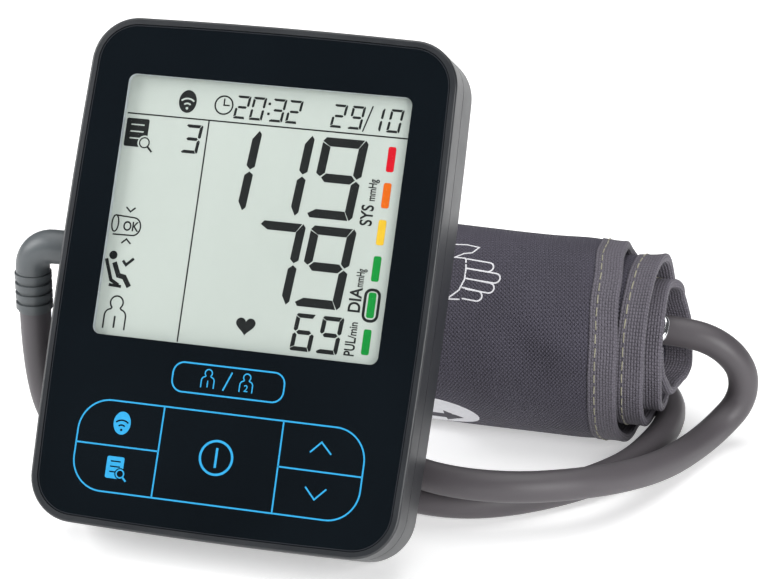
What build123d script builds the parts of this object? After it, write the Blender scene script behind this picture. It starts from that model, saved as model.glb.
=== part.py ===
"""Upper-arm blood pressure monitor, its rolled-up cuff and the air hose between them.

Millimetres. +X runs to the viewer's right, +Y away from the viewer, +Z up. The origin is on the
table, under the middle of the monitor and cuff taken together.
"""
import os
from math import cos, hypot, pi, radians, sin, tan

from build123d import *

os.makedirs("parts", exist_ok=True)

# ---------------------------------------------------------------- driving dimensions
# The monitor leans back on its foot; its face is a rounded rectangle with slightly bowed sides.
monitor_x = -24.0
face_y = -72.7
face_lift = 10.5
lean = 29.0
face_width = 103.0
face_height = 137.0
side_bulge = 1.2
end_bulge = 0.8
corner_radius = 12.5
case_depth = 20.0
front_depth = 8.0
wall = 2.0
joint_gap = 0.3
fit = 0.2

# Glossy front panel and the display behind its window.
rim = 1.8
panel_drop = 0.25
panel_thickness = 1.5
panel_seat = 1.8
ledge_inset = 4.5
ledge = 1.2
display_y = 86.0
window_width = 78.7
window_height = 70.5
window_radius = 2.2
pane_thickness = 0.8
lcd_width = 83.0
lcd_height = 75.0
lcd_front = 2.7
lcd_thickness = 2.0

# Wedge behind the case that holds the pump and the batteries and forms the foot.
hump_width = 54.0
foot_gap = 0.8
foot_back = 51.0
hump_top_back = 84.3
hump_top_z = 110.0
hump_edge = 3.0

# Battery bay, measured up the sloping back from the foot's rear edge.
bay_centre = 82.0
bay_length = 50.4
bay_width = 46.4
bay_depth = 13.8
bay_wall = 1.3
door_length = 52.8
door_width = 48.2
door_thickness = 2.0
battery_radius = 5.15
battery_length = 44.2
battery_pitch = 11.2

# Cuff, rolled about an axis along X.
roll_radius = 28.7
roll_y = 46.3
roll_pitch = 4.8
cuff_left = -80.0
cuff_width = 145.0
cloth = 1.0
core = 2.2
layer_gap = 0.1
tail = 14.0
binding = 8.6

# Air hose and the spigots of the small tubes inside.
hose_radius = 4.3
plug_radius = 4.7
spigot_radius = 1.45

# ---------------------------------------------------------------- monitor planes and helpers
face = Plane(
    origin=(monitor_x, face_y, face_lift),
    x_dir=(1, 0, 0),
    z_dir=(0, -cos(radians(lean)), sin(radians(lean))),
)
slope_vector = Vector(0, hump_top_back - foot_back, hump_top_z - foot_gap)
slope_normal = Vector(0, slope_vector.Z, -slope_vector.Y)
slope = Plane(
    origin=(monitor_x, face_y + foot_back, foot_gap),
    x_dir=(-1, 0, 0),
    z_dir=slope_normal,
)


def behind(depth):
    """Plane parallel to the face and this far behind it."""
    return face.offset(-depth)


def at(x, y, depth):
    """Point x right of the face's centreline, y up it and this far behind it."""
    return face.from_local_coords((x, y, -depth))


def across(x, y, depth):
    """Plane facing +X at a point of the monitor; its own x runs up the face."""
    return Plane(origin=at(x, y, depth), x_dir=face.y_dir, z_dir=(1, 0, 0))


def upward(x, y, depth, up=1):
    """Plane facing up the monitor, or down it with up=-1, at one of its points."""
    return Plane(origin=at(x, y, depth), x_dir=(1, 0, 0), z_dir=face.y_dir * up)


def barrel(depth, inset=0.0):
    """The monitor's outline this far behind the face, drawn in all round by inset."""
    half = face_width / 2 - inset
    side = half - side_bulge
    low = inset + end_bulge
    high = face_height - inset - end_bulge
    middle = face_height / 2
    with BuildSketch(behind(depth)) as outline:
        with BuildLine():
            ThreePointArc((-side, low), (0, inset), (side, low))
            ThreePointArc((side, low), (half, middle), (side, high))
            ThreePointArc((side, high), (0, face_height - inset), (-side, high))
            ThreePointArc((-side, high), (-half, middle), (-side, low))
        make_face()
        fillet(outline.vertices(), corner_radius - inset)
    return outline.sketch


def plate(depth, width, height, x=0.0, y=0.0, radius=0.5):
    """A rounded rectangle parallel to the face, this far behind it."""
    with BuildSketch(behind(depth)) as outline:
        with Locations((x, y)):
            RectangleRounded(width, height, radius)
    return outline.sketch


def discs(depth, radius, places):
    """Equal circles parallel to the face, this far behind it."""
    with BuildSketch(behind(depth)) as outline:
        with Locations(*places):
            Circle(radius)
    return outline.sketch


def hump_side(points, x):
    """A closed outline in the YZ plane at x, from world points (y, z)."""
    with BuildSketch(Plane.YZ.offset(x)) as outline:
        with BuildLine():
            Polyline(*points, close=True)
        make_face()
    return outline.sketch


def world_yz(y, depth):
    """World (y, z) of a point on the monitor's centre plane."""
    point = at(0, y, depth)
    return (point.Y, point.Z)


screw_places = [(-41.5, 7), (41.5, 7), (-41.5, 130), (41.5, 130)]
boss_places = [(-30, 12), (30, 12), (-30, 118), (30, 118)]

# ---------------------------------------------------------------- front of the monitor
with BuildPart() as front_housing:
    extrude(barrel(0), amount=-front_depth)
    rim_edges = front_housing.faces().sort_by(Axis(face.origin, face.z_dir))[-1].edges()
    fillet(rim_edges, 0.7)
    extrude(barrel(0, rim), amount=-panel_seat, mode=Mode.SUBTRACT)
    extrude(barrel(0, ledge_inset), amount=-front_depth, mode=Mode.SUBTRACT)
    extrude(
        barrel(panel_seat + ledge, rim),
        amount=panel_seat + ledge - front_depth,
        mode=Mode.SUBTRACT,
    )
    extrude(discs(panel_seat + 0.2, 3.0, screw_places), amount=-7.0)
    extrude(discs(3.4, 1.3, screw_places), amount=-6.0, mode=Mode.SUBTRACT)
front_housing.part.label = "front_housing"
export_step(front_housing.part, "parts/front_housing.step")

with BuildPart() as front_panel:
    extrude(barrel(panel_drop, rim + 0.1), amount=-panel_thickness)
    extrude(
        plate(0, window_width, window_height, y=display_y, radius=window_radius),
        amount=-3.0,
        mode=Mode.SUBTRACT,
    )
front_panel.part.label = "front_panel"
export_step(front_panel.part, "parts/front_panel.step")

with BuildPart() as window_pane:
    extrude(
        plate(0.55, window_width - 0.1, window_height - 0.1, y=display_y, radius=window_radius),
        amount=-pane_thickness,
    )
window_pane.part.label = "window_pane"
export_step(window_pane.part, "parts/window_pane.step")

with BuildPart() as display_gasket:
    extrude(plate(1.8, lcd_width, lcd_height, y=display_y, radius=1.0), amount=-0.85)
    extrude(
        plate(1.8, window_width + 0.6, window_height + 0.6, y=display_y, radius=1.0),
        amount=-0.85,
        mode=Mode.SUBTRACT,
    )
display_gasket.part.label = "display_gasket"
export_step(display_gasket.part, "parts/display_gasket.step")

with BuildPart() as lcd_glass:
    extrude(
        plate(lcd_front, lcd_width, lcd_height, y=display_y, radius=0.3), amount=-lcd_thickness
    )
lcd_glass.part.label = "lcd_glass"
export_step(lcd_glass.part, "parts/lcd_glass.step")

with BuildPart() as light_guide:
    extrude(plate(4.8, lcd_width, lcd_height - 2.4, y=display_y + 1.2, radius=0.3), amount=-2.0)
light_guide.part.label = "light_guide"
export_step(light_guide.part, "parts/light_guide.step")

with BuildPart() as contact_strip:
    extrude(
        plate(4.8, lcd_width - 6, 1.8, y=display_y - lcd_height / 2 + 1.0, radius=0.2),
        amount=-3.7,
    )
contact_strip.part.label = "contact_strip"
export_step(contact_strip.part, "parts/contact_strip.step")

with BuildPart() as lcd_frame:
    extrude(plate(2.9, lcd_width + 4.6, lcd_height + 4.0, y=display_y, radius=1.5), amount=-5.2)
    extrude(
        plate(2.9, lcd_width + 0.4, lcd_height + 0.4, y=display_y, radius=0.4),
        amount=-4.1,
        mode=Mode.SUBTRACT,
    )
    extrude(
        plate(6.9, lcd_width - 5.4, 2.4, y=display_y - lcd_height / 2 + 1.0, radius=0.2),
        amount=-2.0,
        mode=Mode.SUBTRACT,
    )
lcd_frame.part.label = "lcd_frame"
export_step(lcd_frame.part, "parts/lcd_frame.step")

with BuildPart() as key_board:
    extrude(plate(1.85, 75.0, 39.0, y=25.6, radius=3.0), amount=-0.9)
key_board.part.label = "key_board"
export_step(key_board.part, "parts/key_board.step")

# ---------------------------------------------------------------- electronics
with BuildPart() as main_board:
    extrude(plate(8.6, 68.0, 116.0, y=66.0, radius=2.0), amount=-1.6)
    extrude(discs(8.6, 1.2, boss_places), amount=-1.6, mode=Mode.SUBTRACT)
main_board.part.label = "main_board"
export_step(main_board.part, "parts/main_board.step")

with BuildPart() as board_link:
    extrude(plate(2.85, 20.0, 3.0, x=14.0, y=34.0, radius=0.3), amount=-5.65)
board_link.part.label = "board_link"
export_step(board_link.part, "parts/board_link.step")

with BuildPart() as board_chips:
    extrude(plate(10.3, 10.0, 10.0, x=-2.0, y=44.0, radius=0.4), amount=-1.2)
    extrude(plate(10.3, 12.0, 16.0, x=-22.0, y=22.0, radius=0.4), amount=-1.8)
    extrude(plate(10.3, 5.0, 6.0, x=16.0, y=52.0, radius=0.3), amount=-1.4)
    extrude(discs(10.3, 2.5, [(-28, 40), (-28, 47)]), amount=-5.5)
board_chips.part.label = "board_chips"
export_step(board_chips.part, "parts/board_chips.step")

with BuildPart() as buzzer:
    extrude(discs(10.3, 6.0, [(27, 26)]), amount=-3.4)
    extrude(discs(13.7, 1.0, [(27, 26)]), amount=2.4, mode=Mode.SUBTRACT)
buzzer.part.label = "buzzer"
export_step(buzzer.part, "parts/buzzer.step")

with BuildPart() as pressure_sensor:
    extrude(plate(10.3, 8.0, 8.0, x=-29.0, y=98.0, radius=0.5), amount=-4.0)
    with BuildSketch(across(-33.0, 98.0, 12.3)) as port:
        Circle(1.4)
    extrude(amount=-4.0)
pressure_sensor.part.label = "pressure_sensor"
export_step(pressure_sensor.part, "parts/pressure_sensor.step")

# ---------------------------------------------------------------- back of the monitor
screw_mouth = case_depth - 2.4
hump_points = [
    world_yz(1.5, case_depth - 3),
    (face_y + 18.5, foot_gap),
    (face_y + foot_back, foot_gap),
    (face_y + hump_top_back, hump_top_z),
    world_yz(128.0, case_depth - 3),
]
slant = (hump_top_back - foot_back) / (hump_top_z - foot_gap)


def inner_back(z):
    """World (y, z) on the inside of the sloping back wall."""
    return (face_y + foot_back + (z - foot_gap) * slant - wall * hypot(1, slant), z)


cavity_points = [
    world_yz(3.0, front_depth + 4),
    (face_y + 20.5, foot_gap + wall),
    inner_back(foot_gap + wall),
    inner_back(hump_top_z - wall),
    world_yz(125.6, front_depth + 4),
]


def hump_block(points, half_width, edge):
    """Wedge behind the case; the two upright edges of its back are rounded."""
    with BuildPart() as block:
        extrude(hump_side(points, monitor_x - half_width), amount=2 * half_width)
        fillet(block.edges().filter_by(Axis(slope.origin, slope_vector)), edge)
    return block.part


outer_hump = hump_block(hump_points, hump_width / 2, hump_edge)
inner_hump = hump_block(cavity_points, hump_width / 2 - wall, 1.0)


def bay(depth, width, length, centre=bay_centre, radius=1.0):
    """A rounded rectangle parallel to the sloping back, this far inside it."""
    with BuildSketch(slope.offset(-depth)) as outline:
        with Locations((0, centre)):
            RectangleRounded(width, length, radius)
    return outline.sketch


hinge_height = bay_centre - door_length / 2 + door_thickness / 2
hinge_plane = Plane(
    origin=slope.from_local_coords((0, hinge_height, -door_thickness / 2)),
    x_dir=slope_vector,
    z_dir=(1, 0, 0),
)
socket_place = (74.0, 13.1)

with BuildPart() as rear_housing:
    extrude(barrel(front_depth + joint_gap), amount=front_depth + joint_gap - case_depth)
    back_edges = rear_housing.faces().sort_by(Axis(face.origin, face.z_dir))[0].edges()
    fillet(back_edges, 2.0)
    add(outer_hump)
    extrude(
        barrel(front_depth, wall), amount=front_depth + wall - case_depth, mode=Mode.SUBTRACT
    )
    add(inner_hump, mode=Mode.SUBTRACT)
    extrude(bay(0.8, bay_width + 2 * bay_wall, bay_length + 2 * bay_wall), amount=-14.3)
    extrude(bay(0, bay_width, bay_length), amount=-bay_depth, mode=Mode.SUBTRACT)
    extrude(
        bay(0, door_width + 2 * fit, door_length + 2 * fit, radius=0.4),
        amount=-door_thickness - fit,
        mode=Mode.SUBTRACT,
    )
    with BuildSketch(hinge_plane.offset(-door_width / 2 - 1.1)) as pin_holes:
        Circle(0.6)
    extrude(amount=door_width + 2.2, mode=Mode.SUBTRACT)
    extrude(discs(9.3, 3.2, screw_places), amount=9.3 - case_depth + 0.3)
    extrude(discs(front_depth, 1.6, screw_places), amount=-14, mode=Mode.SUBTRACT)
    extrude(discs(screw_mouth, 3.0, screw_places), amount=-4, mode=Mode.SUBTRACT)
    extrude(discs(10.25, 2.5, boss_places), amount=10.25 - case_depth + wall)
    extrude(discs(10.2, 0.9, boss_places), amount=-6.0, mode=Mode.SUBTRACT)
    with BuildSketch(across(-face_width / 2 - 1, *socket_place)) as socket_hole:
        Circle(3.7)
    extrude(amount=4, mode=Mode.SUBTRACT)
rear_housing.part.label = "rear_housing"
export_step(rear_housing.part, "parts/rear_housing.step")

with BuildPart() as battery_door:
    extrude(bay(0, door_width, door_length, radius=0.3), amount=-door_thickness)
    foot_edges = battery_door.edges().filter_by(Axis.X).group_by(Axis(slope.origin, slope_vector))[0]
    fillet(foot_edges, door_thickness / 2 - 0.02)
    with BuildSketch(hinge_plane.offset(-door_width / 2 - 0.9)) as hinge_pins:
        Circle(0.5)
    extrude(amount=door_width + 1.8)
    for rib in range(4):
        extrude(bay(0, 18.0, 0.9, centre=bay_centre + 14 + 2.4 * rib, radius=0.4), amount=0.4)
battery_door.part.label = "battery_door"
export_step(battery_door.part, "parts/battery_door.step")

battery_axis_depth = 8.6
with BuildPart() as batteries:
    for column in range(4):
        side = (column - 1.5) * battery_pitch
        up = 1 if column % 2 else -1
        end = bay_centre - up * battery_length / 2
        with BuildSketch(
            Plane(
                origin=slope.from_local_coords((side, end, -battery_axis_depth)),
                x_dir=(1, 0, 0),
                z_dir=slope_vector * up,
            )
        ) as cell_end:
            Circle(battery_radius)
        extrude(amount=battery_length - 1.2)
        with BuildSketch(
            Plane(
                origin=slope.from_local_coords((side, -end + 2 * bay_centre, -battery_axis_depth)),
                x_dir=(1, 0, 0),
                z_dir=slope_vector * up,
            )
        ) as nub:
            Circle(1.9)
        extrude(amount=-1.3)
batteries.part.label = "batteries"
export_step(batteries.part, "parts/batteries.step")

with BuildPart() as battery_contacts:
    for column in range(4):
        side = (column - 1.5) * battery_pitch
        for end in (-1, 1):
            with BuildSketch(slope.offset(-battery_axis_depth - 4.2)) as leaf:
                with Locations((side, bay_centre + end * (bay_length / 2 - 0.35))):
                    Rectangle(8.0, 0.5)
                flexed = (end > 0) != (column % 2 == 1)
                if flexed:
                    with Locations((side, bay_centre + end * (bay_length / 2 - 1.4))):
                        Rectangle(5.0, 1.7)
            extrude(amount=8.0)
battery_contacts.part.label = "battery_contacts"
export_step(battery_contacts.part, "parts/battery_contacts.step")

with BuildPart() as housing_screws:
    extrude(discs(screw_mouth + 1.8, 2.6, screw_places), amount=1.8)
    extrude(discs(screw_mouth + 0.1, 1.15, screw_places), amount=12.5)
    for x, y in screw_places:
        extrude(plate(screw_mouth + 1.8, 3.2, 0.8, x=x, y=y, radius=0.3), amount=0.9, mode=Mode.SUBTRACT)
        extrude(plate(screw_mouth + 1.8, 0.8, 3.2, x=x, y=y, radius=0.3), amount=0.9, mode=Mode.SUBTRACT)
housing_screws.part.label = "housing_screws"
export_step(housing_screws.part, "parts/housing_screws.step")

with BuildPart() as board_screws:
    extrude(discs(8.55, 1.9, boss_places), amount=0.45)
    extrude(discs(8.6, 0.85, boss_places), amount=-6.5)
board_screws.part.label = "board_screws"
export_step(board_screws.part, "parts/board_screws.step")

with BuildPart() as rubber_feet:
    with BuildSketch() as foot_pads:
        with Locations((monitor_x, face_y + 35.0)):
            with GridLocations(38.0, 23.0, 2, 2):
                RectangleRounded(9.0, 7.0, 2.5)
    extrude(amount=foot_gap)
rubber_feet.part.label = "rubber_feet"
export_step(rubber_feet.part, "parts/rubber_feet.step")

# ---------------------------------------------------------------- air pump, valve and air way
pump_place = (38.0, 30.0)
motor_radius = 10.0
motor_end = 3.0

with BuildPart() as motor_case:
    with BuildSketch(across(motor_end, *pump_place)) as motor_round:
        Circle(motor_radius)
    extrude(amount=-24.0)
    with BuildSketch(across(motor_end - 1.2, *pump_place)) as motor_inside:
        Circle(motor_radius - 1.0)
    extrude(amount=-21.6, mode=Mode.SUBTRACT)
    with BuildSketch(across(motor_end, *pump_place)) as motor_hole:
        Circle(1.1)
    extrude(amount=-3.0, mode=Mode.SUBTRACT)
motor_case.part.label = "motor_case"
export_step(motor_case.part, "parts/motor_case.step")

with BuildPart() as motor_rotor:
    with BuildSketch(across(motor_end - 21.0, *pump_place)) as armature:
        Circle(7.0)
    extrude(amount=17.0)
    with BuildSketch(across(motor_end - 22.0, *pump_place)) as motor_shaft:
        Circle(1.0)
    extrude(amount=28.0)
    with BuildSketch(across(motor_end + 1.2, *pump_place)) as crank:
        Circle(4.0)
        with Locations((3.0, 0)):
            Circle(1.6)
    extrude(amount=3.4)
motor_rotor.part.label = "motor_rotor"
export_step(motor_rotor.part, "parts/motor_rotor.step")

with BuildPart() as pump_head:
    with BuildSketch(across(motor_end + 0.1, *pump_place)) as head_section:
        RectangleRounded(21.0, 21.0, 3.0)
    extrude(amount=19.0)
    with BuildSketch(across(motor_end, *pump_place)) as crank_room:
        Circle(6.5)
    extrude(amount=8.5, mode=Mode.SUBTRACT)
    with BuildSketch(upward(motor_end + 13.0, pump_place[0] + 10.0, pump_place[1])):
        Circle(spigot_radius)
    extrude(amount=4.5)
pump_head.part.label = "pump_head"
export_step(pump_head.part, "parts/pump_head.step")

with BuildPart() as pump_diaphragm:
    with BuildSketch(across(motor_end + 6.5, *pump_place)) as membrane:
        Circle(6.2)
    extrude(amount=1.4)
pump_diaphragm.part.label = "pump_diaphragm"
export_step(pump_diaphragm.part, "parts/pump_diaphragm.step")

valve_place = (40.0, 13.1)
valve_bottom = 30.0

with BuildPart() as valve_body:
    extrude(plate(10.4, 9.6, 20.0, x=valve_place[0], y=valve_bottom + 10.0, radius=1.0), amount=-6.6)
    with BuildSketch(upward(valve_place[0], valve_bottom + 19.8, valve_place[1])):
        Circle(spigot_radius)
    extrude(amount=4.0)
    with BuildSketch(upward(valve_place[0], valve_bottom, valve_place[1])):
        Circle(1.6)
    extrude(amount=18.5, mode=Mode.SUBTRACT)
    with BuildSketch(upward(valve_place[0], valve_bottom + 18.0, valve_place[1])):
        Circle(0.7)
    extrude(amount=6.0, mode=Mode.SUBTRACT)
valve_body.part.label = "valve_body"
export_step(valve_body.part, "parts/valve_body.step")

with BuildPart() as valve_plunger:
    with BuildSketch(upward(valve_place[0], valve_bottom - 4.0, valve_place[1])):
        Circle(1.5)
    extrude(amount=21.0)
    with BuildSketch(upward(valve_place[0], valve_bottom - 4.0, valve_place[1])):
        Circle(2.6)
    extrude(amount=1.2)
valve_plunger.part.label = "valve_plunger"
export_step(valve_plunger.part, "parts/valve_plunger.step")

socket_inner = 15.0
with BuildPart() as cuff_socket:
    with BuildSketch(across(-face_width / 2 + wall + 0.3, *socket_place)) as socket_end:
        Circle(4.6)
    extrude(amount=socket_inner)
    with BuildSketch(across(-face_width / 2 + wall + 0.3, *socket_place)) as socket_bore:
        Circle(3.1)
    extrude(amount=socket_inner - 2.0, mode=Mode.SUBTRACT)
    with BuildSketch(
        across(-face_width / 2 + wall + 0.2 + socket_inner, *socket_place)
    ) as socket_spigot:
        Circle(1.8)
    extrude(amount=5.0)
    with BuildSketch(across(-face_width / 2 + wall + 5, *socket_place)) as socket_way:
        Circle(0.9)
    extrude(amount=18.0, mode=Mode.SUBTRACT)
cuff_socket.part.label = "cuff_socket"
export_step(cuff_socket.part, "parts/cuff_socket.step")


manifold_start = -face_width / 2 + wall + socket_inner + 4.3
manifold_middle = manifold_start + 4.0

with BuildPart() as air_manifold:
    with BuildSketch(across(manifold_start, *socket_place)) as manifold_body:
        RectangleRounded(9.0, 5.4, 1.0)
    extrude(amount=8.0)
    with BuildSketch(across(manifold_start + 7.8, *socket_place)) as valve_spigot:
        Circle(spigot_radius)
    extrude(amount=4.2)
    for up in (-1, 1):
        with BuildSketch(upward(manifold_middle, socket_place[0] + 4.3 * up, socket_place[1], up)):
            Circle(spigot_radius)
        extrude(amount=4.2)
    with BuildSketch(across(manifold_start, *socket_place)) as spigot_seat:
        Circle(1.9)
    extrude(amount=2.0, mode=Mode.SUBTRACT)
    with BuildSketch(across(manifold_start, *socket_place)) as manifold_way:
        Circle(0.8)
    extrude(amount=12.5, mode=Mode.SUBTRACT)
air_manifold.part.label = "air_manifold"
export_step(air_manifold.part, "parts/air_manifold.step")


def tube_along(*points, bend=4.0):
    """A soft tube along straight runs and arcs between monitor points (x, y, depth)."""
    with BuildPart() as tube:
        with BuildLine() as way:
            FilletPolyline(*[at(*point) for point in points], radius=bend)
        with BuildSketch(Plane(origin=way.line @ 0, z_dir=way.line % 0)):
            Circle(2.0)
            Circle(spigot_radius + 0.05, mode=Mode.SUBTRACT)
        sweep(path=way.line)
    return tube.part


tube_height = socket_place[0]
tube_depth = socket_place[1]
with BuildPart() as air_tubes:
    add(
        tube_along(
            (manifold_middle, tube_height - 4.6, tube_depth),
            (manifold_middle, 58.0, tube_depth),
            (motor_end + 13.0, 62.0, pump_place[1]),
            (motor_end + 13.0, 48.7, pump_place[1]),
        )
    )
    add(
        tube_along(
            (manifold_start + 8.1, tube_height, tube_depth),
            (valve_place[0], tube_height, tube_depth),
            (valve_place[0], valve_bottom + 20.1, tube_depth),
        )
    )
    add(
        tube_along(
            (manifold_middle, tube_height + 4.6, tube_depth),
            (manifold_middle, 88.0, tube_depth),
            (-42.0, 88.5, 12.6),
            (-42.0, 98.0, 12.3),
            (-37.1, 98.0, 12.3),
            bend=3.0,
        )
    )
air_tubes.part.label = "air_tubes"
export_step(air_tubes.part, "parts/air_tubes.step")

# ---------------------------------------------------------------- cuff
# Each half turn of the roll has its own centre, and is half a pitch tighter than the last.
# The last half turn stops short of the crown, where the metal bar is.
half_turns = 7
last_swing = 110.0
layer = 2 * cloth + core + 2 * layer_gap
roll_length = cuff_width + 40
roll_axis = Axis((0, roll_y, roll_radius), (1, 0, 0))

# (radius, shift): the ends of the inner turns stand further to the right than the outer ones.
telescope = [(36.0, 0.0), (roll_radius, 0.0), (23.9, 5.0), (19.1, 9.5), (14.3, 14.5), (0.0, 14.5)]


def roll_centre(turn):
    """Centre, in Y and Z, of one half turn."""
    return roll_y, roll_radius + turn % 2 * roll_pitch / 2


def roll_point(turn, swing, depth):
    """Point of a half turn after swinging this many degrees, this deep in the roll."""
    centre = roll_centre(turn)
    radius = roll_radius - depth - turn * roll_pitch / 2
    sign = -1 if turn % 2 == 0 else 1
    return (
        centre[0] + sign * radius * sin(radians(swing)),
        centre[1] + sign * radius * cos(radians(swing)),
    )


def roll_layer(start, thickness, first, last, swing=180.0, flap=0.0):
    """Section of one layer of the roll, from half turn first to swing degrees of the last one."""
    depths = (start, start + thickness)
    with BuildSketch(Plane.YZ.offset(cuff_left - 5)) as section:
        with BuildLine():
            for depth in depths:
                for turn in range(first, last):
                    radius = roll_radius - depth - turn * roll_pitch / 2
                    arc = swing if turn == last - 1 else 180.0
                    from_angle = 270 - arc if turn % 2 == 0 else 90 - arc
                    CenterArc(roll_centre(turn), radius, from_angle, arc)
                if flap:
                    Line((roll_y, depth), (roll_y + flap, depth))
            if flap:
                Line(*[(roll_y + flap, depth) for depth in depths])
            else:
                Line(*[roll_point(first, 0, depth) for depth in depths])
            Line(*[roll_point(last - 1, swing, depth) for depth in depths])
        make_face()
    return section.sketch


def roll_span(from_left, from_right):
    """Solid of revolution between the telescoped ends; from_left and from_right trim it."""
    plane = Plane(origin=(0, roll_y, roll_radius), x_dir=(1, 0, 0), z_dir=(0, -1, 0))
    left = [(cuff_left + shift + from_left, radius) for radius, shift in telescope]
    right = [(cuff_left + cuff_width + shift - from_right, radius) for radius, shift in telescope]
    with BuildPart() as span:
        with BuildSketch(plane):
            with BuildLine():
                Polyline(*left, *reversed(right), close=True)
            make_face()
        revolve(axis=roll_axis)
    return span.part


inside_binding = roll_span(binding + 0.1, binding + 0.1)

with BuildPart() as cuff_outer:
    extrude(roll_layer(0, cloth, 0, half_turns, last_swing, tail), amount=roll_length)
    add(inside_binding, mode=Mode.INTERSECT)
cuff_outer.part.label = "cuff_outer"
export_step(cuff_outer.part, "parts/cuff_outer.step")

with BuildPart() as cuff_padding:
    extrude(roll_layer(cloth + layer_gap, core, 0, 3), amount=roll_length)
    add(inside_binding, mode=Mode.INTERSECT)
cuff_padding.part.label = "cuff_padding"
export_step(cuff_padding.part, "parts/cuff_padding.step")

with BuildPart() as cuff_bladder:
    extrude(roll_layer(cloth + layer_gap, core, 3, half_turns, last_swing - 3), amount=roll_length)
    add(roll_span(binding + 1.0, binding + 1.0), mode=Mode.INTERSECT)
cuff_bladder.part.label = "cuff_bladder"
export_step(cuff_bladder.part, "parts/cuff_bladder.step")

with BuildPart() as cuff_inner:
    extrude(roll_layer(layer - cloth, cloth, 0, half_turns, last_swing), amount=roll_length)
    add(inside_binding, mode=Mode.INTERSECT)
cuff_inner.part.label = "cuff_inner"
export_step(cuff_inner.part, "parts/cuff_inner.step")

with BuildPart() as left_binding:
    extrude(roll_layer(0, layer, 0, half_turns, last_swing, tail), amount=roll_length)
    add(roll_span(0, cuff_width - binding), mode=Mode.INTERSECT)
left_binding.part.label = "left_binding"
export_step(left_binding.part, "parts/left_binding.step")

with BuildPart() as right_binding:
    extrude(roll_layer(0, layer, 0, half_turns, last_swing, tail), amount=roll_length)
    add(roll_span(cuff_width - binding, 0), mode=Mode.INTERSECT)
right_binding.part.label = "right_binding"
export_step(right_binding.part, "parts/right_binding.step")

with BuildPart() as hook_tape:
    with BuildSketch(Plane.XY.offset(cloth + layer_gap)):
        with Locations((cuff_left + cuff_width / 2, roll_y + tail / 2 + 0.2)):
            Rectangle(cuff_width - 34, tail - 1.2)
    extrude(amount=layer - cloth - 2 * layer_gap)
hook_tape.part.label = "hook_tape"
export_step(hook_tape.part, "parts/hook_tape.step")

# Metal bar of the cuff, a closed loop of wire beyond the inner end of the cloth. The plane's
# own y runs on round the roll.
bar_wire = 1.2
bar_swing = 136.0
bar_half_height = 3.8
bar_left = -72.0
bar_right = 75.1
bar_y, bar_z = roll_point(half_turns - 1, bar_swing, layer / 2)
bar_plane = Plane(
    origin=(0, bar_y, bar_z),
    x_dir=(1, 0, 0),
    z_dir=(0, -sin(radians(bar_swing)), -cos(radians(bar_swing))),
)
with BuildPart() as cuff_bar:
    with BuildLine(bar_plane) as bar_line:
        FilletPolyline(
            (bar_right, -bar_half_height),
            (bar_right, bar_half_height),
            (bar_left, bar_half_height),
            (bar_left, -bar_half_height),
            radius=3.0,
            close=True,
        )
    with BuildSketch(Plane(origin=bar_line.line @ 0, z_dir=bar_line.line % 0)):
        Circle(bar_wire)
    sweep(path=bar_line.line)
cuff_bar.part.label = "cuff_bar"
export_step(cuff_bar.part, "parts/cuff_bar.step")

# Elbow between the bladder and the hose; its foot stands on the cloth inside the roll.
hose_exit = (64.0, roll_y - 1.5, roll_radius + 5.5)
elbow_x = 34.0
elbow_reach = 12.0
nipple_bore = 1.6
with BuildPart() as hose_nipple:
    with BuildLine() as nipple_line:
        FilletPolyline(
            (hose_exit[0] - 0.1, hose_exit[1], hose_exit[2]),
            (elbow_x, hose_exit[1], hose_exit[2]),
            (elbow_x, hose_exit[1] - elbow_reach, hose_exit[2] - elbow_reach),
            radius=4.5,
        )
    with BuildSketch(Plane(origin=nipple_line.line @ 0, z_dir=(-1, 0, 0))):
        Circle(3.2)
        Circle(nipple_bore, mode=Mode.SUBTRACT)
    sweep(path=nipple_line.line)
    with BuildSketch(Plane(origin=nipple_line.line @ 0, z_dir=(-1, 0, 0))) as collar:
        Circle(3.8)
        Circle(nipple_bore, mode=Mode.SUBTRACT)
    extrude(amount=2.9)
    with BuildSketch(Plane.YZ) as core_hole:
        with Locations(roll_centre(half_turns - 1)):
            Circle(roll_point(half_turns, 90, layer)[0] - roll_y + roll_pitch / 2 - 0.05)
    extrude(amount=hose_exit[0], mode=Mode.INTERSECT)
hose_nipple.part.label = "hose_nipple"
export_step(hose_nipple.part, "parts/hose_nipple.step")

# ---------------------------------------------------------------- hose and its plug
leg_x = monitor_x - 65.3
plug_point = at(0, *socket_place)
leg_y = plug_point.Y
plug_z = plug_point.Z
wall_x = monitor_x - face_width / 2 - 0.1
sleeve_top = 61.0
sleeve_bottom = 49.6

with BuildPart() as hose_plug:
    with BuildLine() as elbow_line:
        FilletPolyline(
            (wall_x, leg_y, plug_z),
            (leg_x, leg_y, plug_z),
            (leg_x, leg_y, sleeve_top),
            radius=6.5,
        )
    with BuildSketch(Plane(origin=(wall_x, leg_y, plug_z), z_dir=(-1, 0, 0))):
        Circle(plug_radius)
        Circle(1.6, mode=Mode.SUBTRACT)
    sweep(path=elbow_line.line)
    with BuildSketch(Plane(origin=(wall_x, leg_y, plug_z), z_dir=(1, 0, 0))) as nozzle:
        Circle(2.9)
        Circle(1.6, mode=Mode.SUBTRACT)
    extrude(amount=12.0)
hose_plug.part.label = "hose_plug"
export_step(hose_plug.part, "parts/hose_plug.step")

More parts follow.
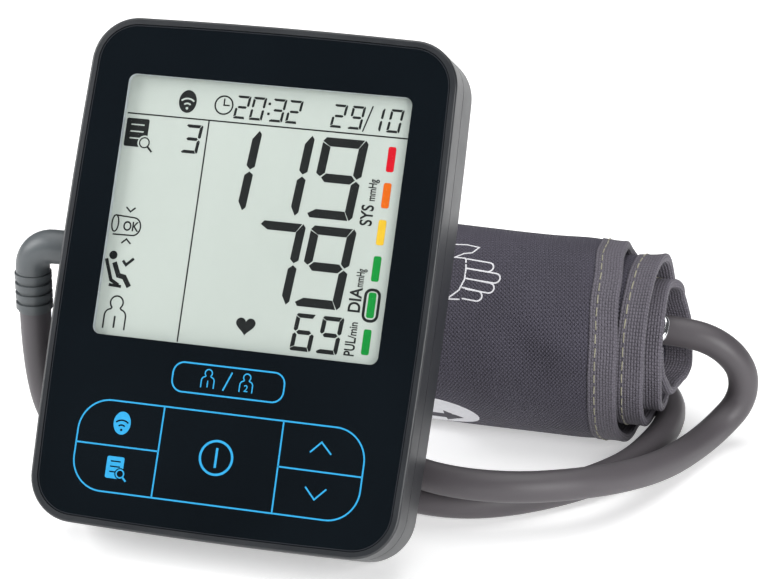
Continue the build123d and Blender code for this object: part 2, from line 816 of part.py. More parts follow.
with BuildPart() as hose_sleeve:
    with BuildSketch(Plane(origin=(leg_x, leg_y, 0), x_dir=(1, 0, 0), z_dir=(0, -1, 0))):
        with BuildLine():
            rib_count = 4
            rib_pitch = (sleeve_top - sleeve_bottom) / rib_count
            outline = [(1.6, sleeve_top - 0.1)]
            for rib in range(rib_count):
                top = sleeve_top - 0.1 - rib * rib_pitch
                outline += [
                    (5.1, top),
                    (5.1, top - 0.62 * rib_pitch),
                    (4.5, top - 0.7 * rib_pitch),
                    (4.5, top - 0.95 * rib_pitch),
                ]
            outline += [(4.5, sleeve_bottom + 0.02), (1.6, sleeve_bottom + 0.02)]
            Polyline(*outline, close=True)
        make_face()
    revolve(axis=Axis((leg_x, leg_y, 0), (0, 0, 1)))
hose_sleeve.part.label = "hose_sleeve"
export_step(hose_sleeve.part, "parts/hose_sleeve.step")

# Route of the hose from the cuff to the sleeve, measured from the face's lowest corner (x from
# the monitor's middle, y back from the face, z up): round the tight loop at the cuff's right end,
# along the table behind the monitor, round the cuff, back under itself and up to the plug.
hose_route = [
    (88, 117.5, 34.2),
    (99, 117.5, 34.2),
    (112, 118.3, 32.4),
    (120.4, 121.3, 23.6),
    (120.4, 123, 12.4),
    (114.2, 117, 5.4),
    (109.5, 104, 4.4),
    (104.5, 88, 6),
    (98, 71, 9.5),
    (88, 56, 12.8),
    (73, 47.3, 13.5),
    (57, 45.3, 13.5),
    (43, 48.5, 13.5),
    (28, 60.5, 12.8),
    (12, 69, 8.5),
    (-10, 72, 4.6),
    (-35, 76, 4.4),
    (-58, 90, 4.4),
    (-70, 112, 4.4),
    (-68, 138, 4.4),
    (-50, 156, 4.4),
    (-20, 163, 4.4),
    (20, 165, 4.4),
    (60, 162, 4.4),
    (84, 153, 4.4),
    (97, 137, 4.4),
    (100.4, 120, 4.4),
    (98.5, 104, 4.4),
    (94.8, 89, 4.4),
    (87, 75.5, 4.4),
    (77, 64.5, 4.4),
    (65.5, 55.7, 4.4),
    (54, 51.3, 4.4),
    (41, 51.7, 4.4),
    (28, 56.6, 4.4),
    (12, 59.5, 4.4),
    (-10, 59.8, 4.4),
    (-29, 57, 4.4),
    (-47, 51.5, 5),
    (-60, 48.6, 13),
]
hose_points = [Vector(x + monitor_x, y + face_y, z) for x, y, z in hose_route]
hose_points.append(Vector(leg_x, leg_y, sleeve_bottom - 20))
hose_points.append(Vector(leg_x, leg_y, sleeve_bottom))

runs = [after - before for before, after in zip(hose_points, hose_points[1:])]
hose_radii = []
for before, after in zip(runs, runs[1:]):
    turn = before.get_angle(after)
    shorter = min(before.length, after.length)
    hose_radii.append(0.45 * shorter / tan(radians(turn / 2)))

with BuildPart() as air_hose:
    with BuildLine() as hose_line:
        FilletPolyline(*hose_points, radius=hose_radii)
    with BuildSketch(Plane(origin=hose_points[0], z_dir=runs[0])):
        Circle(hose_radius)
    sweep(path=hose_line.line)
air_hose.part.label = "air_hose"
export_step(air_hose.part, "parts/air_hose.step")

hose_length = hose_line.wire().length
print("hose bends down to", round(min(hose_radii), 1))
print("hose length", round(hose_length, 1))
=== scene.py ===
"""Looks of an upper-arm blood pressure monitor with its rolled cuff and air hose."""
import math

import bmesh
import bpy
from mathutils import Matrix, Vector, noise
from mathutils.geometry import convex_hull_2d


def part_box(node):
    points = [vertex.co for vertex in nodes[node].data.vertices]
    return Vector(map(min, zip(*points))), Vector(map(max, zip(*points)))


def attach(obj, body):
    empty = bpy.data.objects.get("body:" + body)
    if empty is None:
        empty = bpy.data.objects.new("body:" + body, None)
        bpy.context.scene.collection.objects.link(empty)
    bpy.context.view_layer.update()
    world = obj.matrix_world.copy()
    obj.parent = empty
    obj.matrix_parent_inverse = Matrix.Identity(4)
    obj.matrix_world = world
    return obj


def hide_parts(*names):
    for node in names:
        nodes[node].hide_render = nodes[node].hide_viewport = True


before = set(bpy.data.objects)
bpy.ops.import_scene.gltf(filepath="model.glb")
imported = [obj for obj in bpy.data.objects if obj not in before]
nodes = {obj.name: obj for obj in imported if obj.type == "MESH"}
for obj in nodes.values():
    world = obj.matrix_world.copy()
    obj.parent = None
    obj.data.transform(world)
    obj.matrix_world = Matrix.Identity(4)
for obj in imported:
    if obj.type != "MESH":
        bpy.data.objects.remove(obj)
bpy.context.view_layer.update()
MM = 0.001

# ---------------------------------------------------------------- the face's own axes
LEAN = math.radians(29.0)
FACE_UP = Vector((0, math.sin(LEAN), math.cos(LEAN)))
FACE_OUT = Vector((0, -math.cos(LEAN), math.sin(LEAN)))
FACE_RIGHT = Vector((1, 0, 0))


def box_centre(node):
    low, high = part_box(node)
    return (low + high) / 2


LCD_CENTRE = box_centre("lcd_glass")
LCD_HALF = 1.0 * MM
PANEL_CENTRE = box_centre("front_panel")
PANEL_HALF = 0.75 * MM
DISPLAY_ABOVE_MIDDLE = 17.5
# The printing on the glass stands this far off its middle, right and up.
PRINT_RIGHT = -0.65
PRINT_UP = 0.2


def on_lcd(x, y, lift):
    """Point x right and y up from the display's middle, lift above its glass, in mm."""
    side = FACE_RIGHT * (x + PRINT_RIGHT) * MM + FACE_UP * (y + PRINT_UP) * MM
    return LCD_CENTRE + side + FACE_OUT * (LCD_HALF + lift * MM)


def on_panel(x, y, lift):
    """The same on the front panel, still measured from the display's middle."""
    up = (y + DISPLAY_ABOVE_MIDDLE) * MM
    return PANEL_CENTRE + FACE_RIGHT * x * MM + FACE_UP * up + FACE_OUT * (PANEL_HALF + lift * MM)


# ---------------------------------------------------------------- materials
def material(name, color, roughness=0.5, **inputs):
    """A new material and its Principled shader, with constant values on the shader itself."""
    made = bpy.data.materials.new(name)
    made.use_nodes = True
    shader = made.node_tree.nodes["Principled BSDF"]
    shader.inputs["Base Color"].default_value = (*color, 1.0)
    shader.inputs["Roughness"].default_value = roughness
    for key, value in inputs.items():
        shader.inputs[key.replace("_", " ")].default_value = value
    return made, shader


def add_node(made, kind, **values):
    """A node with its sockets (or attributes) set by name."""
    new = made.node_tree.nodes.new(kind)
    for key, value in values.items():
        label = key.replace("_", " ")
        if label in new.inputs:
            new.inputs[label].default_value = value
        else:
            setattr(new, key, value)
    return new


def link(made, source, target):
    made.node_tree.links.new(source, target)


def math_node(made, operation, first, second=0.0):
    """A math node; first and second are sockets or numbers."""
    new = made.node_tree.nodes.new("ShaderNodeMath")
    new.operation = operation
    for index, value in enumerate((first, second)):
        if isinstance(value, (int, float)):
            new.inputs[index].default_value = value
        else:
            link(made, value, new.inputs[index])
    return new.outputs[0]


def noise_value(made, scale, detail):
    """Noise in the piece's own coordinates."""
    texture = add_node(made, "ShaderNodeTexNoise", Scale=scale, Detail=detail)
    place = add_node(made, "ShaderNodeTexCoord").outputs["Object"]
    link(made, place, texture.inputs["Vector"])
    return texture.outputs["Fac"]


def ramp(made, value, low, high, first, last):
    """Colour from first to last as value goes from low to high."""
    new = made.node_tree.nodes.new("ShaderNodeValToRGB")
    new.color_ramp.elements[0].position = low
    new.color_ramp.elements[1].position = high
    new.color_ramp.elements[0].color = (*first, 1.0)
    new.color_ramp.elements[1].color = (*last, 1.0)
    link(made, value, new.inputs["Fac"])
    return new.outputs["Color"]


def add_bump(made, shader, height, distance, strength):
    bump = add_node(made, "ShaderNodeBump", Strength=strength, Distance=distance)
    link(made, height, bump.inputs["Height"])
    link(made, bump.outputs["Normal"], shader.inputs["Normal"])


def vary(made, shader, color, spread, scale, roughness):
    """Uneven colour, and roughness from low to high, over the surface."""
    value = noise_value(made, scale, 4.0)
    dark = [c * (1 - spread) for c in color]
    light = [min(1.0, c * (1 + spread)) for c in color]
    link(made, ramp(made, value, 0.3, 0.7, dark, light), shader.inputs["Base Color"])
    smooth, rough = [(level, level, level) for level in roughness]
    link(made, ramp(made, value, 0.3, 0.7, smooth, rough), shader.inputs["Roughness"])


def moulded(name, color, roughness, grain=0.02, scale=2500.0, spread=0.08):
    """Moulded plastic with a fine spark-eroded grain."""
    made, shader = material(name, color, roughness[0], Specular_IOR_Level=0.5)
    vary(made, shader, color, spread, 60.0, roughness)
    add_bump(made, shader, noise_value(made, scale, 2.0), grain * MM, 0.6)
    return made


def polished(name, color):
    """Hard glossy plastic with faint smears in its polish."""
    made, shader = material(name, color, 0.08, Specular_IOR_Level=0.45, Coat_Weight=0.1)
    vary(made, shader, color, 0.15, 25.0, (0.06, 0.13))
    return made


def printed(name, color, roughness=0.45):
    """Screen-printed ink, slightly uneven."""
    made, shader = material(name, color, roughness, Specular_IOR_Level=0.3)
    vary(made, shader, color, 0.05, 900.0, (roughness - 0.05, roughness + 0.08))
    return made


def metal(name, color, roughness, grain=0.01):
    made, shader = material(name, color, roughness, Metallic=1.0)
    vary(made, shader, color, 0.06, 200.0, (roughness * 0.8, roughness * 1.3))
    add_bump(made, shader, noise_value(made, 1800.0, 2.0), grain * MM, 0.4)
    return made


def soft_rubber(name, color, roughness=(0.42, 0.55), grain=0.02, sheen=0.15):
    made, shader = material(name, color, roughness[0], Sheen_Weight=sheen, Sheen_Roughness=0.5)
    vary(made, shader, color, 0.1, 45.0, roughness)
    add_bump(made, shader, noise_value(made, 900.0, 4.0), grain * MM, 0.5)
    return made


# How dark the painted shade in a weave's hollows is, and how light the painted highlight on its threads,
# as shares of its colour.
WEAVE_HOLLOW_SHADE = 0.032
WEAVE_THREAD_HIGHLIGHT = 2.76


def woven(name, color, pitch, angle, depth, sheen):
    """Plain weave drawn on the piece's own cloth coordinates, which are in millimetres."""
    made, shader = material(
        name, color, 0.62, Sheen_Weight=sheen, Sheen_Roughness=0.4, Specular_IOR_Level=0.35
    )
    cloth = add_node(made, "ShaderNodeUVMap", uv_map="cloth").outputs["UV"]
    turn = add_node(made, "ShaderNodeMapping", Rotation=(0, 0, math.radians(angle)))
    link(made, cloth, turn.inputs["Vector"])
    split = add_node(made, "ShaderNodeSeparateXYZ")
    link(made, turn.outputs["Vector"], split.inputs["Vector"])
    warp_way = math_node(made, "MULTIPLY", split.outputs["X"], math.pi / pitch)
    weft_way = math_node(made, "MULTIPLY", split.outputs["Y"], math.pi / pitch)
    warp = math_node(made, "ABSOLUTE", math_node(made, "SINE", warp_way))
    weft = math_node(made, "ABSOLUTE", math_node(made, "SINE", weft_way))
    over = math_node(
        made,
        "MULTIPLY",
        math_node(made, "SINE", warp_way),
        math_node(made, "SINE", weft_way),
    )
    crossing = math_node(made, "MULTIPLY_ADD", over, 0.35)
    threads = math_node(made, "ADD", math_node(made, "MULTIPLY", warp, weft), crossing)
    wear = noise_value(made, 55.0, 5.0)
    shade = math_node(
        made, "ADD", math_node(made, "MULTIPLY", threads, 0.75), math_node(made, "MULTIPLY", wear, 0.5)
    )
    # The weave's pattern is coloured from painted shade in its hollows to painted highlight on its
    # threads, with uneven wear mixed in.
    dark = [c * WEAVE_HOLLOW_SHADE for c in color]
    light = [c * WEAVE_THREAD_HIGHLIGHT for c in color]
    link(made, ramp(made, shade, 0.3, 0.88, dark, light), shader.inputs["Base Color"])
    add_bump(made, shader, threads, depth * MM, 0.9)
    return made


CASE = moulded("case_plastic", (0.018, 0.02, 0.023), (0.3, 0.42))
PANEL = polished("panel_gloss", (0.0026, 0.0045, 0.0065))
PANEL_EDGE = polished("panel_edge", (0.02, 0.022, 0.026))
ACRYLIC = moulded("clear_edge", (0.42, 0.46, 0.48), (0.25, 0.35))
FOAM = soft_rubber("foam_seal", (0.42, 0.45, 0.46), (0.6, 0.75), grain=0.05)
SEAL = soft_rubber("soft_seal", (0.02, 0.02, 0.022))
GUIDE = moulded("clear_guide", (0.8, 0.84, 0.8), (0.3, 0.4))
BOARD = moulded("board", (0.012, 0.12, 0.05), (0.35, 0.5), grain=0.05, scale=600.0)
CHIP = moulded("chip", (0.015, 0.015, 0.016), (0.5, 0.6))
STEEL = metal("steel", (0.55, 0.55, 0.56), 0.32)
CHROME = metal("chrome", (0.85, 0.86, 0.88), 0.08)
WRAP = polished("battery_wrap", (0.12, 0.14, 0.17))
NYLON = moulded("pump_plastic", (0.6, 0.6, 0.56), (0.45, 0.55))
FEET = soft_rubber("foot_rubber", (0.02, 0.02, 0.021))
FILL = soft_rubber("cuff_fill", (0.35, 0.33, 0.31))
HOSE = soft_rubber("hose_rubber", (0.076, 0.068, 0.075), (0.42, 0.55), grain=0.03, sheen=0.05)
PLUG = moulded("plug_plastic", (0.08, 0.09, 0.096), (0.32, 0.42), grain=0.015)
INK = printed("lcd_ink", (0.006, 0.008, 0.008), 0.5)
BLUE = printed("print_blue", (0.02, 0.29, 0.56))
WHITE = printed("print_white", (0.72, 0.72, 0.75))
RED = printed("bar_red", (0.64, 0.001, 0.014))
ORANGE = printed("bar_orange", (0.73, 0.13, 0.001))
YELLOW = printed("bar_yellow", (0.8, 0.51, 0.03))
GREEN = printed("bar_green", (0.001, 0.26, 0.035))
CLOTH = woven("cuff_fabric", (0.026, 0.024, 0.033), 0.8, 38, depth=0.3, sheen=0.03)
TAPE = woven("cuff_tape", (0.053, 0.049, 0.059), 0.84, 0, depth=0.34, sheen=0.05)
HOOK = soft_rubber("hook_pile", (0.06, 0.057, 0.067), (0.75, 0.85), grain=0.35, sheen=0.2)
THREAD = soft_rubber("cuff_thread", (0.3, 0.285, 0.21), (0.6, 0.7), grain=0.05)


def lcd_face():
    """Pale polariser film with a faint grain."""
    color = (0.53, 0.588, 0.545)
    made, shader = material("lcd_face", color, 0.38, Specular_IOR_Level=0.3)
    vary(made, shader, color, 0.03, 18.0, (0.34, 0.44))
    add_bump(made, shader, noise_value(made, 3000.0, 1.0), 0.004 * MM, 0.4)
    return made


def clear_window():
    made, shader = material("window_clear", (0.01, 0.012, 0.012), 0.05, Alpha=0.07)
    value = noise_value(made, 30.0, 3.0)
    link(
        made,
        ramp(made, value, 0.3, 0.7, (0.04, 0.04, 0.04), (0.09, 0.09, 0.09)),
        shader.inputs["Roughness"],
    )
    return made


LCD = lcd_face()
CLEAR = clear_window()

NODE_LOOKS = {
    "front_housing": CASE, "rear_housing": CASE, "battery_door": CASE, "lcd_frame": CASE,
    "cuff_socket": CASE, "front_panel": PANEL, "window_pane": CLEAR, "lcd_glass": LCD,
    "display_gasket": FOAM, "contact_strip": SEAL, "pump_diaphragm": SEAL,
    "light_guide": GUIDE, "key_board": BOARD, "main_board": BOARD,
    "board_link": CHIP, "board_chips": CHIP, "buzzer": CHIP,
    "battery_contacts": STEEL, "housing_screws": STEEL, "board_screws": STEEL,
    "motor_case": STEEL, "motor_rotor": STEEL, "valve_plunger": STEEL,
    "batteries": WRAP, "rubber_feet": FEET, "cuff_bar": CHROME,
    "pressure_sensor": NYLON, "pump_head": NYLON, "valve_body": NYLON, "air_manifold": NYLON,
    "air_tubes": FILL, "hook_tape": HOOK, "hose_nipple": PLUG,
    "hose_plug": PLUG, "hose_sleeve": PLUG,
}
for node_name, look in NODE_LOOKS.items():
    nodes[node_name].data.materials.clear()
    nodes[node_name].data.materials.append(look)


# ---------------------------------------------------------------- mesh helpers
def finish_piece(name, mesh, look, replaces=(), smooth=30):
    """Turns a bmesh into a named piece with its look, riding on the fixed body."""
    bmesh.ops.recalc_face_normals(mesh, faces=mesh.faces)
    data = bpy.data.meshes.new(name)
    mesh.to_mesh(data)
    mesh.free()
    piece = bpy.data.objects.new(name, data)
    bpy.context.scene.collection.objects.link(piece)
    data.materials.append(look)
    if smooth:
        data.shade_smooth()
        data.set_sharp_from_angle(angle=math.radians(smooth))
    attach(piece, "root")
    if replaces:
        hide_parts(*replaces)
    return piece


class Artwork:
    """Flat printed shapes as closed slivers on a surface; place(x, y, lift) is in mm."""

    def __init__(self, place, low=-0.02, high=0.035):
        self.mesh = bmesh.new()
        self.place = place
        self.low = low
        self.high = high

    def prism(self, outline):
        """A closed solid over an outline, which is a list of (x, y)."""
        under = [self.mesh.verts.new(self.place(x, y, self.low)) for x, y in outline]
        over = [self.mesh.verts.new(self.place(x, y, self.high)) for x, y in outline]
        count = len(outline)
        self.mesh.faces.new(over)
        self.mesh.faces.new(list(reversed(under)))
        for index in range(count):
            after = (index + 1) % count
            self.mesh.faces.new((under[index], under[after], over[after], over[index]))

    def patch(self, levels, columns=14):
        """A shape draped over a curved surface; levels is a list of (left, right, y)."""
        layers = []
        for lift in (self.low, self.high):
            layers.append(
                [
                    [
                        self.mesh.verts.new(self.place(left + (right - left) * k / columns, y, lift))
                        for k in range(columns + 1)
                    ]
                    for left, right, y in levels
                ]
            )
        for rows in layers:
            for one, two in zip(rows, rows[1:]):
                for k in range(columns):
                    self.mesh.faces.new((one[k], one[k + 1], two[k + 1], two[k]))
        under, over = layers
        for k in range(columns):
            for row in (0, -1):
                quad = (under[row][k], under[row][k + 1], over[row][k + 1], over[row][k])
                self.mesh.faces.new(quad)
        for row in range(len(levels) - 1):
            for k in (0, -1):
                quad = (under[row][k], under[row + 1][k], over[row + 1][k], over[row][k])
                self.mesh.faces.new(quad)

    def stroke(self, points, width, closed=False):
        """A line of even width along points, mitred at its corners."""
        count = len(points)
        rails = []
        for index, point in enumerate(points):
            here = Vector(point)
            before = Vector(points[(index - 1) % count]) if closed or index else None
            after = Vector(points[(index + 1) % count]) if closed or index < count - 1 else None
            ways = []
            if before is not None:
                ways.append((here - before).normalized())
            if after is not None:
                ways.append((after - here).normalized())
            way = sum(ways, Vector((0, 0))).normalized()
            side = Vector((-way.y, way.x))
            stretch = max(0.4, abs(side.dot(Vector((-ways[0].y, ways[0].x)))))
            reach = side * (width / 2 / stretch)
            rails.append((here + reach, here - reach))
        quads = range(count if closed else count - 1)
        corners = []
        for left, right in rails:
            corners.append(
                [
                    self.mesh.verts.new(self.place(spot.x, spot.y, lift))
                    for spot, lift in (
                        (left, self.low), (right, self.low), (right, self.high), (left, self.high)
                    )
                ]
            )
        for index in quads:
            one = corners[index]
            two = corners[(index + 1) % count]
            for edge in range(4):
                after = (edge + 1) % 4
                self.mesh.faces.new((one[edge], one[after], two[after], two[edge]))
        if not closed:
            self.mesh.faces.new(corners[0])
            self.mesh.faces.new(list(reversed(corners[-1])))

    def ring(self, x, y, radius, width, squeeze=1.0, steps=36):
        turn = [2 * math.pi * step / steps for step in range(steps)]
        self.stroke(
            [(x + radius * squeeze * math.cos(a), y + radius * math.sin(a)) for a in turn],
            width,
            closed=True,
        )

    def disc(self, x, y, radius, squeeze=1.0):
        turn = [2 * math.pi * step / 36 for step in range(36)]
        self.prism([(x + radius * squeeze * math.cos(a), y + radius * math.sin(a)) for a in turn])

    def text(self, words, x, y, size, turn=0.0, stretch=1.0, weight=0.0):
        """Plain lettering from the built-in font; (x, y) is the start of its base line."""
        curve = bpy.data.curves.new("words", "FONT")
        curve.body = words
        curve.size = size
        curve.offset = weight
        holder = bpy.data.objects.new("words", curve)
        bpy.context.scene.collection.objects.link(holder)
        bpy.context.view_layer.update()
        flat = bpy.data.meshes.new_from_object(
            holder.evaluated_get(bpy.context.evaluated_depsgraph_get())
        )
        letters = bmesh.new()
        letters.from_mesh(flat)
        bmesh.ops.remove_doubles(letters, verts=letters.verts, dist=1e-5)
        solid = bmesh.ops.extrude_face_region(letters, geom=letters.faces[:])
        raised = {v for v in solid["geom"] if isinstance(v, bmesh.types.BMVert)}
        spin = Matrix.Rotation(turn, 2)
        copies = {}
        for vertex in letters.verts:
            flat_place = spin @ Vector((vertex.co.x * stretch, vertex.co.y)) + Vector((x, y))
            lift = self.high if vertex in raised else self.low
            copies[vertex] = self.mesh.verts.new(self.place(flat_place.x, flat_place.y, lift))
        for face in letters.faces:
            self.mesh.faces.new([copies[vertex] for vertex in face.verts])
        letters.free()
        bpy.data.objects.remove(holder)

    def done(self, name, look):
        finish_piece(name, self.mesh, look, smooth=0)


def arc(x, y, radius, start, end, steps=12, squeeze=1.0):
    """Points along an arc, angles in degrees."""
    spread = [math.radians(start + (end - start) * step / steps) for step in range(steps + 1)]
    return [(x + radius * squeeze * math.cos(a), y + radius * math.sin(a)) for a in spread]


def round_box(left, bottom, right, top, radius, steps=8):
    """A rounded rectangle's points, anticlockwise."""
    return (
        arc(right - radius, bottom + radius, radius, -90, 0, steps)
        + arc(right - radius, top - radius, radius, 0, 90, steps)
        + arc(left + radius, top - radius, radius, 90, 180, steps)
        + arc(left + radius, bottom + radius, radius, 180, 270, steps)
    )


# ---------------------------------------------------------------- display segments
SEGMENTS = {
    "0": "abcdef", "1": "bc", "2": "abged", "3": "abgcd", "6": "acdefg", "7": "abc",
    "9": "abcdfg",
}


def digit(art, character, x, y, width, height, bar, slant=0.085, gap=0.26):
    """One seven-segment character; (x, y) is its lower left corner."""
    half = height / 2
    hook = (0.0, 0.45 * bar), (0.35 * bar, 0.0), (width - 0.35 * bar - 1.3 * gap, 0.0)
    level = (*hook, (width - bar - 0.5 * gap, bar), (0.9 * bar, bar))
    left = (
        (0.0, 0.45 * bar + 1.2 * gap), (bar, bar + 0.8 * gap), (bar, half - gap - 0.45 * bar),
        (bar / 2, half - gap), (0.0, half - gap - 0.35 * bar),
    )
    right = (
        (width - 0.35 * bar, 0.0), (width, 0.4 * bar), (width, half - gap - 0.35 * bar),
        (width - bar / 2, half - gap), (width - bar, half - gap - 0.45 * bar), (width - bar, bar),
    )
    tip, flat = 0.55 * bar + gap, 1.05 * bar + gap
    middle = (
        (tip, half), (flat, half + bar / 2), (width - flat, half + bar / 2), (width - tip, half),
        (width - flat, half - bar / 2), (flat, half - bar / 2),
    )
    shapes = {"d": level, "e": left, "c": right, "g": middle}
    for above, below in zip("afb", "dec"):
        shapes[above] = [(px, height - py) for px, py in shapes[below]]
    for letter in SEGMENTS[character]:
        art.prism([(x + px + py * slant, y + py) for px, py in shapes[letter]])


def person(art, x, y, height, width, number, line):
    """Outline of a head and shoulders with a small number inside."""
    head = height * 0.2
    neck = y + height - 2 * head
    art.stroke(arc(x, y + height - head, head, -50, 230, 16), line)
    shoulder = width / 2
    art.stroke(
        [(x + head * 0.62, neck + head * 0.25)]
        + arc(x + shoulder - 0.3 * width, neck - 0.3 * width, 0.3 * width, 80, 0, 6)
        + [(x + shoulder, y)],
        line,
    )
    art.stroke(
        [(x - head * 0.62, neck + head * 0.25)]
        + arc(x - shoulder + 0.3 * width, neck - 0.3 * width, 0.3 * width, 100, 180, 6)
        + [(x - shoulder, y)],
        line,
    )
    art.text(number, x - height * 0.13, y + height * 0.04, height * 0.52, weight=0.02)


def document(art, cut, left, bottom, right, top):
    """A page with three lines of text cut out of it, the last one shorter."""
    art.prism(round_box(left, bottom, right, top, 0.5, 4))
    wide = right - left
    for row in range(3):
        level = top - (top - bottom) * (0.22 + 0.24 * row)
        margin = wide * (0.2 + 0.12 * (row == 2))
        cut.stroke([(left + wide * 0.22, level), (right - margin, level)], 0.34)


def magnifier(art, cut, x, y, radius):
    """A magnifying glass with a gap cut round it."""
    cut.disc(x, y, radius * 1.45)
    art.ring(x, y, radius, 0.36)
    art.stroke([(x + radius * 0.75, y - radius * 0.75), (x + radius * 1.75, y - radius * 1.75)], 0.5)


def waves(art, x, y, size, line):
    """Generic radio mark: a dot with two arcs fanning upwards."""
    art.disc(x, y - size * 0.5, line * 0.8)
    for ring in (1, 2):
        art.stroke(arc(x, y - size * 0.5, size * 0.4 * ring, 48, 132, 10), line)


def draw_display():
    ink = Artwork(on_lcd)
    cut = Artwork(on_lcd, low=0.02, high=0.06)
    top = Artwork(on_lcd, low=0.05, high=0.09)
    thin, small = 0.38, 0.66
    ink.stroke([(-38.6, 24.7), (39.3, 24.6)], thin)
    ink.stroke([(-15.5, 24.6), (-15.6, -35.0)], thin)
    for column, character in zip((-9.1, -4.7, 0.9, 5.4), "2032"):
        digit(ink, character, column, 25.8, 3.7, 6.3, small, slant=0.12, gap=0.2)
    for level in (27.5, 30.2):
        ink.prism(round_box(0.25, level, 0.95, level + 0.7, 0.15, 2))
    digit(ink, "2", 17.8, 25.8, 3.6, 6.3, small, slant=0.12, gap=0.2)
    digit(ink, "9", 22.7, 25.8, 3.6, 6.3, small, slant=0.12, gap=0.2)
    ink.stroke([(26.9, 25.4), (28.9, 32.4)], thin)
    digit(ink, "1", 28.4, 25.8, 3.2, 6.3, small, slant=0.12, gap=0.2)
    digit(ink, "0", 33.2, 25.8, 3.6, 6.3, small, slant=0.12, gap=0.2)
    ink.disc(-22.2, 29.2, 3.1, squeeze=0.8)
    waves(cut, -22.2, 29.0, 3.3, 0.44)
    ink.ring(-12.0, 29.1, 2.45, 0.42)
    ink.stroke([(-12.0, 30.9), (-12.0, 29.1), (-10.4, 29.1)], 0.38)
    document(ink, cut, -38.5, 15.7, -32.1, 23.4)
    magnifier(top, cut, -32.7, 17.0, 1.35)
    digit(ink, "3", -22.2, 15.3, 4.6, 7.8, 0.86, slant=0.1, gap=0.2)
    digit(ink, "1", -14.7, 1.5, 12.6, 21.6, 2.35)
    digit(ink, "1", -0.1, 1.5, 12.6, 21.6, 2.35)
    digit(ink, "9", 14.9, 1.5, 12.4, 21.6, 2.35)
    digit(ink, "7", 1.0, -22.1, 12.4, 21.6, 2.35)
    digit(ink, "9", 14.9, -22.1, 12.4, 21.6, 2.35)
    digit(ink, "6", 15.2, -33.8, 5.8, 9.9, 1.15, gap=0.22)
    digit(ink, "9", 22.4, -33.8, 5.8, 9.9, 1.15, gap=0.22)
    heart = []
    for step in range(40):
        a = 2 * math.pi * step / 40
        depth = 13 * math.cos(a) - 5 * math.cos(2 * a) - 2 * math.cos(3 * a) - math.cos(4 * a)
        heart.append((2.5 + 0.168 * 16 * math.sin(a) ** 3, -28.7 + 0.165 * depth))
    ink.prism(heart)
    upright = math.pi / 2
    labels = (
        ("SYS", 0.7, 4.6, 0.8, 0.1), ("mmHg", 7.3, 3.0, 0.72, 0.06), ("DIA", -22.3, 4.6, 0.86, 0.1),
        ("mmHg", -15.5, 3.0, 0.6, 0.06), ("PUL", -33.7, 3.9, 0.7, 0.08), ("/min", -29.0, 3.1, 0.8, 0.06),
    )
    for words, level, size, stretch, weight in labels:
        ink.text(words, 32.7, level, size, turn=upright, stretch=stretch, weight=weight)
    # Cuff check: a rolled cuff with OK on it, between two chevrons.
    ink.stroke(
        [(-37.9, -8.3)] + arc(-32.4, -5.8, 2.4, -90, 90, 12, squeeze=0.85) + [(-37.6, -3.1)], 0.4
    )
    ink.ring(-37.6, -5.3, 2.2, 0.4, squeeze=0.42)
    ink.text("OK", -35.3, -7.0, 3.6, stretch=0.82, weight=0.07)
    ink.stroke([(-35.1, -0.7), (-33.8, -1.9), (-32.5, -0.7)], 0.44)
    ink.stroke([(-35.1, -10.5), (-33.8, -9.3), (-32.5, -10.5)], 0.44)
    # Person sitting back in a chair, and a tick.
    ink.disc(-36.8, -13.9, 1.15)
    ink.stroke([(-38.6, -15.0), (-36.5, -20.6), (-34.2, -21.8)], 0.95)
    ink.stroke([(-36.2, -15.8), (-34.6, -19.2), (-32.9, -19.5), (-31.2, -22.0)], 1.35)
    ink.stroke([(-36.9, -21.9), (-33.4, -22.1)], 0.8)
    ink.stroke([(-33.9, -15.1), (-32.9, -16.2), (-30.9, -14.3)], 0.75)
    person(ink, -33.9, -33.6, 8.9, 6.0, "1", 0.42)
    ink.stroke(round_box(33.75, -24.0, 37.55, -15.8, 1.6, 5), 0.75, closed=True)
    ink.done("lcd_segments", INK)
    cut.done("lcd_gaps", LCD)
    top.done("lcd_magnifier", INK)
    bars = (
        ("red", RED, 15.4), ("orange", ORANGE, 5.8), ("yellow", YELLOW, -4.0),
        ("green", GREEN, -13.6), ("green_mid", GREEN, -23.2), ("green_low", GREEN, -32.9),
    )
    for name, look, level in bars:
        bar = Artwork(on_lcd, low=0.0, high=0.05)
        bar.prism(round_box(34.6, level, 36.7, level + 6.7, 0.55, 4))
        bar.done("scale_bar_" + name, look)


def draw_keys():
    ink = Artwork(on_panel)
    cut = Artwork(on_panel, low=0.02, high=0.06)
    top = Artwork(on_panel, low=0.05, high=0.09)
    line = 0.42
    ink.stroke(round_box(-15.3, -47.9, 15.4, -40.1, 3.0, 10), line, closed=True)
    person(ink, -5.5, -46.2, 4.9, 3.5, "1", 0.32)
    person(ink, 5.1, -46.2, 4.9, 3.5, "2", 0.32)
    ink.stroke([(-1.1, -46.4), (0.9, -41.4)], 0.4)
    ink.stroke(round_box(-39.3, -76.4, 39.4, -52.3, 8.5, 14), line, closed=True)
    ink.stroke([(-16.2, -52.4), (-16.4, -76.3)], line)
    ink.stroke([(16.6, -52.4), (16.7, -76.3)], line)
    ink.stroke([(-39.2, -64.2), (-16.4, -64.2)], line)
    ink.stroke([(16.6, -64.2), (39.3, -64.3)], line)
    ink.ring(-0.3, -64.0, 4.4, 0.62, steps=48)
    ink.stroke([(-0.3, -61.4), (-0.3, -66.6)], 0.62)
    ink.stroke([(24.7, -59.5), (27.5, -56.6), (30.4, -59.5)], 0.42)
    ink.stroke([(24.7, -68.5), (27.5, -71.5), (30.4, -68.5)], 0.42)
    ink.disc(-27.3, -58.0, 3.05, squeeze=0.78)
    waves(cut, -27.3, -58.2, 3.2, 0.4)
    document(ink, cut, -30.0, -72.7, -25.2, -66.9)
    magnifier(top, cut, -25.9, -71.3, 1.05)
    ink.done("key_prints", BLUE)
    cut.done("key_print_gaps", PANEL)
    top.done("key_magnifier", BLUE)


